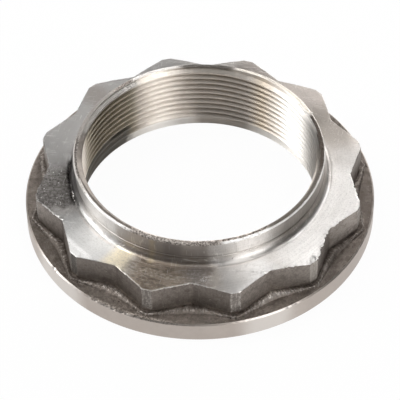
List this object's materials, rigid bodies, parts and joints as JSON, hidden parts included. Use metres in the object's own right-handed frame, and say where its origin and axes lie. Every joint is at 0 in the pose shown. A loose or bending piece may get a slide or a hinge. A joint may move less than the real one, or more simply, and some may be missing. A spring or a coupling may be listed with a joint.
{
  "type": "bearing lock nut",
  "caption": "Flanged lock nut with a twelve-point drive, a fine internal thread and a thin collar that is staked into a shaft groove to hold a bearing.",
  "frame": {"origin": "centre of the flange's flat bearing face", "axes": "+Z along the thread's axis, from the bearing face towards the staking collar; one of the drive's points lies on +X"},
  "size_m": [0.076, 0.076, 0.0177],
  "materials": {
    "steel": "turned and satin on the top, collar and rim; dark forging scale on the drive's sides and the flange"
  },
  "bodies": {
    "root": {"lock_nut": "steel"}
  },
  "joints": []
}
